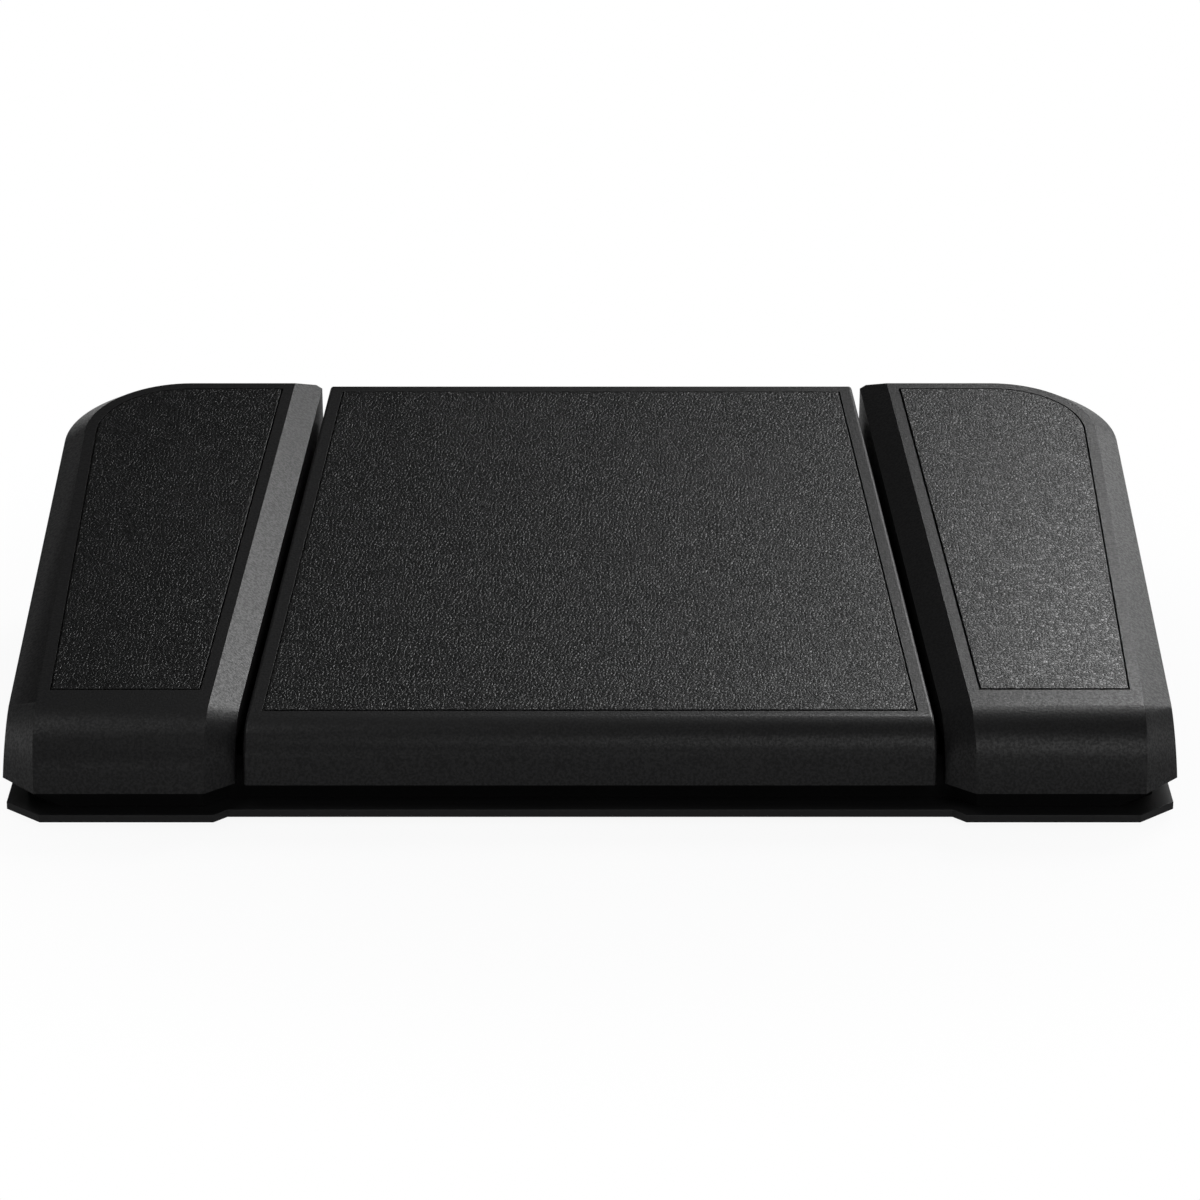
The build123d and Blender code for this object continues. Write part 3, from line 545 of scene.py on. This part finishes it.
def round_off(
    mesh: bmesh.types.BMesh, edges: list[bmesh.types.BMEdge], radius: float, segments: int = ROUND_STEPS
) -> None:
    """Rounds edges.

    Args:
        mesh: The mesh that holds them.
        edges: The edges to round.
        radius: How far the round reaches, in metres.
        segments: The steps in the round.
    """
    bmesh.ops.bevel(
        mesh, geom=edges, offset=radius, offset_type="OFFSET", segments=segments, profile=0.5,
        affect="EDGES", clamp_overlap=True, material=-1, loop_slide=True,
    )


def shade(piece: bpy.types.Object) -> None:
    """Shades a piece smooth up to its sharp edges, with the large faces kept flat."""
    mesh = piece.data
    mesh.polygons.foreach_set("use_smooth", [True] * len(mesh.polygons))
    mesh.set_sharp_from_angle(angle=math.radians(SMOOTH_ANGLE))
    weighted = piece.modifiers.new("large_faces_lead", "WEIGHTED_NORMAL")
    weighted.mode = "FACE_AREA"
    weighted.weight = LARGE_FACE_LEAD
    weighted.keep_sharp = True


def to_piece(mesh: bmesh.types.BMesh, name: str) -> bpy.types.Object:
    """Ends a bmesh as an object at the origin.

    Args:
        mesh: The finished bmesh, which is freed.
        name: The object's name.

    Returns:
        The new object, linked into the scene.
    """
    data = bpy.data.meshes.new(name)
    mesh.to_mesh(data)
    mesh.free()
    piece = bpy.data.objects.new(name, data)
    bpy.context.scene.collection.objects.link(piece)
    return piece


class Assembly:
    """A group of pieces that are dressed alike and reported together."""

    def __init__(self, wardrobe: Wardrobe) -> None:
        """Keeps the finishes."""
        self.wardrobe = wardrobe

    def keep_node(self, node: str) -> None:
        """Shows a CAD node as it is, in its finish."""
        self.wardrobe.dress(frame["nodes"][node], slot_of_node(node))
        LOG.info("%s keeps its solid", node)

    def stand_in(self, mesh: bmesh.types.BMesh, node: str) -> bpy.types.Object:
        """Ends a mesh as the piece that stands for a CAD node.

        Args:
            mesh: The finished bmesh.
            node: The node that it stands for.

        Returns:
            The new piece, dressed and riding on the node's body.
        """
        piece = to_piece(mesh, f"{node}_dressed")
        shade(piece)
        slot = slot_of_node(node)
        self.wardrobe.dress(piece, slot)
        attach(piece, body_of_node(node))
        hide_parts(node)
        LOG.info("%s is dressed with %d faces", node, len(piece.data.polygons))
        return piece

    def rounded(self, node: str, rounding: Rounding) -> bpy.types.Object:
        """Stands a copy with rounded edges for a CAD node.

        Args:
            node: The node's name.
            rounding: How far its edges are rounded.

        Returns:
            The new piece.
        """
        mesh = merged_copy(node)
        round_off(mesh, crease_edges(mesh, ROUNDED_ANGLE), rounding.value)
        return self.stand_in(mesh, node)


@dataclass
class Pedal:
    """One pedal: its cover, its pad, the frame that joins them to the hinge, and the frame's screws."""

    side: Side
    house: Assembly
    cover_angle: float = 14.0
    least_up: float = 0.15
    least_out: float = 0.3
    most_down: float = -0.8
    least_inward: float = 0.2

    def node(self, piece: str) -> str:
        """The full name of one of this pedal's nodes."""
        return f"{self.side.value}_{piece}"

    def way_out(self, edge: bmesh.types.BMEdge, middle: Vector) -> Vector:
        """The level direction from the middle of the cover to an edge."""
        centre = (edge.verts[0].co + edge.verts[1].co) / 2
        return Vector((centre.x - middle.x, centre.y - middle.y, 0)).normalized()

    def is_outside(self, edge: bmesh.types.BMEdge, middle: Vector) -> bool:
        """Whether an edge of the cover is seen from outside.

        Args:
            edge: An edge of the cover.
            middle: The middle of the cover.

        Returns:
            True where the surface beside the edge looks up, or out and not far down.
        """
        outward = (edge.link_faces[0].normal + edge.link_faces[1].normal).normalized()
        looks_out = outward.dot(self.way_out(edge, middle)) > self.least_out
        return outward.z > self.least_up or (looks_out and outward.z > self.most_down)

    def is_pocket(self, edge: bmesh.types.BMEdge, middle: Vector) -> bool:
        """Whether the steeper face beside an edge looks at the pedal's middle, as the pad's pocket does.

        Args:
            edge: An edge of the cover.
            middle: The middle of the cover.

        Returns:
            True for an edge of the pocket.
        """
        wall = min((face.normal for face in edge.link_faces), key=lambda normal: abs(normal.z))
        return wall.dot(self.way_out(edge, middle)) < -self.least_inward

    def build_cover(self) -> None:
        """Rounds the creases of the moulded cover, and only breaks the edges of the pad's pocket."""
        low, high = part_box(self.node("pedal_cover"))
        middle = (low + high) / 2
        mesh = merged_copy(self.node("pedal_cover"))
        creases = crease_edges(mesh, self.cover_angle)
        seen = [edge for edge in creases if self.is_outside(edge, middle)]
        pocket = [edge for edge in seen if self.is_pocket(edge, middle)]
        outside = [edge for edge in seen if edge not in pocket]
        LOG.info("%s has %d pocket and %d outside edges", self.side.value, len(pocket), len(outside))
        round_off(mesh, outside, Rounding.COVER.value)
        unchanged = [edge for edge in pocket if edge.is_valid]
        round_off(mesh, unchanged, Rounding.POCKET.value, 1)
        self.house.stand_in(mesh, self.node("pedal_cover"))

    def build_pad(self) -> None:
        """Rounds the rim of the grained pad."""
        self.house.rounded(self.node("pad"), Rounding.PAD)

    def build(self) -> None:
        """Builds every piece of the pedal."""
        self.build_cover()
        self.build_pad()
        self.house.keep_node(self.node("pedal_frame"))
        self.house.keep_node(self.node("frame_screws"))


@dataclass
class Base:
    """What stands on the floor: plate, feet, tray, bumpers, screws and hinge pins."""

    house: Assembly
    rounded_nodes: dict[str, Rounding] = field(
        default_factory=lambda: {
            "base_plate": Rounding.SHEET,
            "rubber_feet": Rounding.MOULDING,
            "base_screws": Rounding.SMALL,
            "rubber_bumpers": Rounding.MOULDING,
        }
    )
    kept_nodes: tuple[str, ...] = ("base_tray", "left_hinge_pin", "centre_hinge_pin", "right_hinge_pin")

    def build(self) -> None:
        """Builds every piece of the base."""
        for node, rounding in self.rounded_nodes.items():
            self.house.rounded(node, rounding)
        for node in self.kept_nodes:
            self.house.keep_node(node)


@dataclass
class Port:
    """The USB inlet at the rear: its moulded block, its sleeve and the contacts on its tongue."""

    house: Assembly
    contacts: int = 12
    contact_pitch: float = 0.5 * MM
    contact_width: float = 0.28 * MM
    contact_length: float = 3.0 * MM
    contact_thickness: float = 0.03 * MM
    tongue_half_height: float = 0.35 * MM
    tongue_back: float = 1.2 * MM
    corner_share: float = 1 / 3

    def build_contacts(self) -> None:
        """Lays a row of contacts on both faces of the tongue."""
        low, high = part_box("usb_inlet")
        middle = (low + high) / 2
        mesh = bmesh.new()
        for row in range(self.contacts):
            x = middle.x + (row - (self.contacts - 1) / 2) * self.contact_pitch
            y = high.y - self.tongue_back - self.contact_length / 2
            for face in (-1, 1):
                z = middle.z + face * (self.tongue_half_height + self.contact_thickness / 2)
                made = bmesh.ops.create_cube(mesh, size=1.0)
                size = Vector((self.contact_width, self.contact_length, self.contact_thickness))
                bmesh.ops.scale(mesh, vec=size, verts=made["verts"])
                bmesh.ops.translate(mesh, vec=Vector((x, y, z)), verts=made["verts"])
        corner = self.contact_thickness * self.corner_share
        round_off(mesh, crease_edges(mesh, BLOCK_ANGLE), corner, 1)
        piece = to_piece(mesh, "usb_contacts")
        shade(piece)
        self.house.wardrobe.dress(piece, "contact")
        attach(piece, body_of_node("usb_inlet"))
        LOG.info("usb_contacts has %d strips", 2 * self.contacts)

    def build(self) -> None:
        """Builds the block, the sleeve and the contacts."""
        self.house.rounded("usb_port_block", Rounding.MOULDING)
        self.house.keep_node("usb_inlet")
        self.build_contacts()


@dataclass
class Electronics:
    """The circuit board and what is on it."""

    house: Assembly
    lead_width: float = 0.3 * MM
    lead_pitch: float = 0.8 * MM
    lead_reach: float = 0.9 * MM
    lead_thickness: float = 0.15 * MM
    corner_share: float = 0.2

    def build_leads(self) -> None:
        """Adds the leads along the four sides of the controller chip."""
        low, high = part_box("controller_chip")
        middle = (low + high) / 2
        half = (high.x - low.x) / 2
        count = int((high.x - low.x) / self.lead_pitch) - 1
        mesh = bmesh.new()
        for turn in range(4):
            spin = Matrix.Rotation(math.radians(90 * turn), 4, "Z")
            for step in range(count):
                shift = (step - (count - 1) / 2) * self.lead_pitch
                made = bmesh.ops.create_cube(mesh, size=1.0)
                size = Vector((self.lead_width, self.lead_reach, self.lead_thickness))
                bmesh.ops.scale(mesh, vec=size, verts=made["verts"])
                spot = Vector((shift, half + self.lead_reach / 2, 0))
                bmesh.ops.translate(mesh, vec=spot, verts=made["verts"])
                place = Matrix.Translation((middle.x, middle.y, low.z + self.lead_thickness / 2)) @ spin
                bmesh.ops.transform(mesh, matrix=place, verts=made["verts"])
        corner = self.lead_thickness * self.corner_share
        round_off(mesh, crease_edges(mesh, BLOCK_ANGLE), corner, 1)
        piece = to_piece(mesh, "chip_leads")
        shade(piece)
        self.house.wardrobe.dress(piece, "steel")
        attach(piece, body_of_node("controller_chip"))
        LOG.info("chip_leads has %d leads", 4 * count)

    def build(self) -> None:
        """Builds every piece of the electronics."""
        for node in ("circuit_board", "board_screws"):
            self.house.keep_node(node)
        self.house.rounded("controller_chip", Rounding.SMALL)
        self.build_leads()
        for side in Side:
            self.house.rounded(f"{side.value}_switch_body", Rounding.SMALL)
            self.house.rounded(f"{side.value}_switch_plunger", Rounding.SMALL)


@dataclass
class ReturnSpring:
    """One helical spring, which in the real switch is pressed shorter as its pedal goes down."""

    house: Assembly
    node: str
    joint: str

    def build(self) -> None:
        """Copies the coil, merges its loose points and stands the copy in for the CAD node."""
        mesh = bmesh.new()
        mesh.from_mesh(frame["nodes"][self.node].data)
        bmesh.ops.remove_doubles(mesh, verts=mesh.verts, dist=MERGE_REACH)
        piece = self.house.stand_in(mesh, self.node)
        low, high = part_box(self.node)
        seat = (low + high) / 2
        seat.z = low.z
        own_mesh(piece)


@dataclass(frozen=True)
class Lamp:
    """One soft area lamp that points at the object."""

    name: str
    place: Point
    size: tuple[float, float]
    power: float


@dataclass
class Studio:
    """The floor, the lamps, the plain pale surroundings and the camera."""

    target: Point = (0.0, 0.0, 0.02)
    camera_place: Point = (0.00198, -1.00848, 0.37923)
    camera_pitch: float = 70.5
    camera_lens: float = 153.15
    camera_near: float = 0.01
    floor_radius: float = 6.0
    floor_sides: int = 96
    floor_gap: float = 0.05 * MM
    floor_colour: float = 0.86
    floor_mottle: float = 0.01
    mottle_scale: float = 6.0
    # How dimly the floor glows in reflections near the object, and over what span it brightens: painted
    # shade.
    reflection_shade_span: tuple[float, float] = (0.12, 0.6)
    reflection_shade_near: float = 0.2
    white_span: tuple[float, float] = (0.09, 0.22)
    white_near: float = 0.92
    ambient: float = 0.18
    wall_span: tuple[float, float] = (0.02, 0.16)
    wall_drop: float = 0.985
    lamps: tuple[Lamp, ...] = (
        Lamp("rear_right_lamp", (0.53, 0.59, 0.44), (0.36, 0.30), 1.6),
        Lamp("rear_high_lamp", (0.33, 0.55, 0.72), (0.30, 0.30), 3.7),
        Lamp("overhead_left_lamp", (-0.42, -0.18, 0.80), (0.5, 0.4), 1.4),
        Lamp("front_right_lamp", (0.45, -1.05, 0.80), (0.7, 0.5), 3.3),
    )

    def build_camera(self) -> None:
        """Sets the camera at the photograph's place and angle."""
        data = bpy.data.cameras.new("camera")
        data.lens = self.camera_lens
        data.clip_start = self.camera_near
        camera = bpy.data.objects.new("camera", data)
        camera.location = self.camera_place
        camera.rotation_euler = (math.radians(self.camera_pitch), 0.0, 0.0)
        bpy.context.scene.collection.objects.link(camera)
        bpy.context.scene.camera = camera

    def build_lamps(self) -> None:
        """Hangs the soft lamps."""
        for lamp in self.lamps:
            data = bpy.data.lights.new(lamp.name, "AREA")
            data.shape = "RECTANGLE"
            data.size, data.size_y = lamp.size
            data.energy = lamp.power
            light = bpy.data.objects.new(lamp.name, data)
            light.location = lamp.place
            way = Vector(self.target) - Vector(lamp.place)
            light.rotation_euler = way.to_track_quat("-Z", "Y").to_euler()
            bpy.context.scene.collection.objects.link(light)

    def seen_ray(self, nodes: Nodes) -> bpy.types.NodeSocket:
        """A value that is 1 on camera, glossy and transmitted rays.

        Args:
            nodes: The tree that the value is used in.

        Returns:
            The socket that holds the value.
        """
        path = nodes.add("ShaderNodeLightPath")
        seen = nodes.math("MAXIMUM", path.outputs["Is Camera Ray"], path.outputs["Is Glossy Ray"])
        return nodes.math("MAXIMUM", seen, path.outputs["Is Transmission Ray"])

    def build_world(self) -> None:
        """Makes the surroundings white to the eye near the horizon and softly lit elsewhere."""
        world = bpy.data.worlds.new("studio")
        world.use_nodes = True
        bpy.context.scene.world = world
        nodes = Nodes(world.node_tree)
        background = world.node_tree.nodes["Background"]
        background.inputs["Color"].default_value = (1.0, 1.0, 1.0, 1.0)
        place = nodes.add("ShaderNodeTexCoord")
        split = nodes.add("ShaderNodeSeparateXYZ")
        nodes.join(place.outputs["Generated"], split.inputs["Vector"])
        rise = nodes.ramp(split.outputs["Z"], *self.wall_span)
        wall = nodes.math("SUBTRACT", 1.0, nodes.math("MULTIPLY", rise, self.wall_drop))
        path = nodes.add("ShaderNodeLightPath")
        eye = nodes.math("MAXIMUM", path.outputs["Is Camera Ray"], wall)
        shown = nodes.add("ShaderNodeMix", data_type="FLOAT")
        shown.inputs["A"].default_value = self.ambient
        nodes.join(self.seen_ray(nodes), shown.inputs["Factor"])
        nodes.join(eye, shown.inputs["B"])
        nodes.join(shown.outputs["Result"], background.inputs["Strength"])

    def floor_material(self) -> bpy.types.Material:
        """Pale floor that keeps the object's shadow and turns white away from it. In reflections it glows
        only dimly near the object: painted shade.

        Returns:
            The floor's material.
        """
        material = bpy.data.materials.new("pale_floor")
        material.use_nodes = True
        tree = material.node_tree
        nodes = Nodes(tree)
        tree.nodes.remove(tree.nodes["Principled BSDF"])
        place = nodes.add("ShaderNodeTexCoord")
        far = nodes.add("ShaderNodeVectorMath", operation="LENGTH")
        nodes.join(place.outputs["Object"], far.inputs[0])
        grain = nodes.add("ShaderNodeTexNoise", Scale=self.mottle_scale, Detail=2.0)
        nodes.join(place.outputs["Object"], grain.inputs["Vector"])
        tint = nodes.add("ShaderNodeMix", data_type="RGBA")
        tint.inputs["A"].default_value = (*grey(self.floor_colour - self.floor_mottle), 1.0)
        tint.inputs["B"].default_value = (*grey(self.floor_colour + self.floor_mottle), 1.0)
        nodes.join(grain.outputs["Fac"], tint.inputs["Factor"])
        matt = nodes.add("ShaderNodeBsdfDiffuse")
        nodes.join(tint.outputs["Result"], matt.inputs["Color"])
        white = nodes.add("ShaderNodeEmission")
        # The floor's glow as reflected, dim near the object as painted shade and full further out.
        reach = nodes.ramp(far.outputs["Value"], *self.reflection_shade_span)
        gain = nodes.math("MULTIPLY", reach, 1.0 - self.reflection_shade_near)
        reflected_glow_with_shade = nodes.math("ADD", gain, self.reflection_shade_near)
        path = nodes.add("ShaderNodeLightPath")
        shown = nodes.math("MAXIMUM", path.outputs["Is Camera Ray"], reflected_glow_with_shade)
        nodes.join(shown, white.inputs["Strength"])
        mix = nodes.add("ShaderNodeMixShader")
        share = nodes.ramp(far.outputs["Value"], *self.white_span)
        rest = nodes.math("MULTIPLY", share, 1.0 - self.white_near)
        lift = nodes.math("ADD", rest, self.white_near)
        nodes.join(nodes.math("MULTIPLY", lift, self.seen_ray(nodes)), mix.inputs["Fac"])
        nodes.join(matt.outputs["BSDF"], mix.inputs[1])
        nodes.join(white.outputs["Emission"], mix.inputs[2])
        nodes.join(mix.outputs["Shader"], tree.nodes["Material Output"].inputs["Surface"])
        return material

    def build_floor(self) -> None:
        """Lays the floor just under the feet."""
        mesh = bmesh.new()
        sides = self.floor_sides
        made = bmesh.ops.create_circle(mesh, cap_ends=True, segments=sides, radius=self.floor_radius)
        down = Vector((0.0, 0.0, -self.floor_gap))
        bmesh.ops.translate(mesh, vec=down, verts=made["verts"])
        floor = to_piece(mesh, "floor")
        floor.data.materials.append(self.floor_material())

    def build(self) -> None:
        """Builds the whole studio."""
        self.build_camera()
        self.build_lamps()
        self.build_world()
        self.build_floor()
        bpy.context.scene.view_settings.view_transform = "Standard"
        LOG.info("studio has %d lamps", len(self.lamps))


def main() -> None:
    """Builds the studio, then every sub-assembly in order."""
    logging.basicConfig(level=logging.INFO, format="%(name)s: %(message)s")
    Studio().build()
    house = Assembly(Wardrobe())
    for side in Side:
        Pedal(side, house).build()
    Base(house).build()
    Port(house).build()
    Electronics(house).build()
    springs = {
        "left_spring": Side.LEFT, "centre_spring_left": Side.CENTRE,
        "centre_spring_right": Side.CENTRE, "right_spring": Side.RIGHT,
    }
    for node, side in springs.items():
        ReturnSpring(house, node, f"{side.value}_pedal_press").build()


if __name__ == "__main__":
    main()
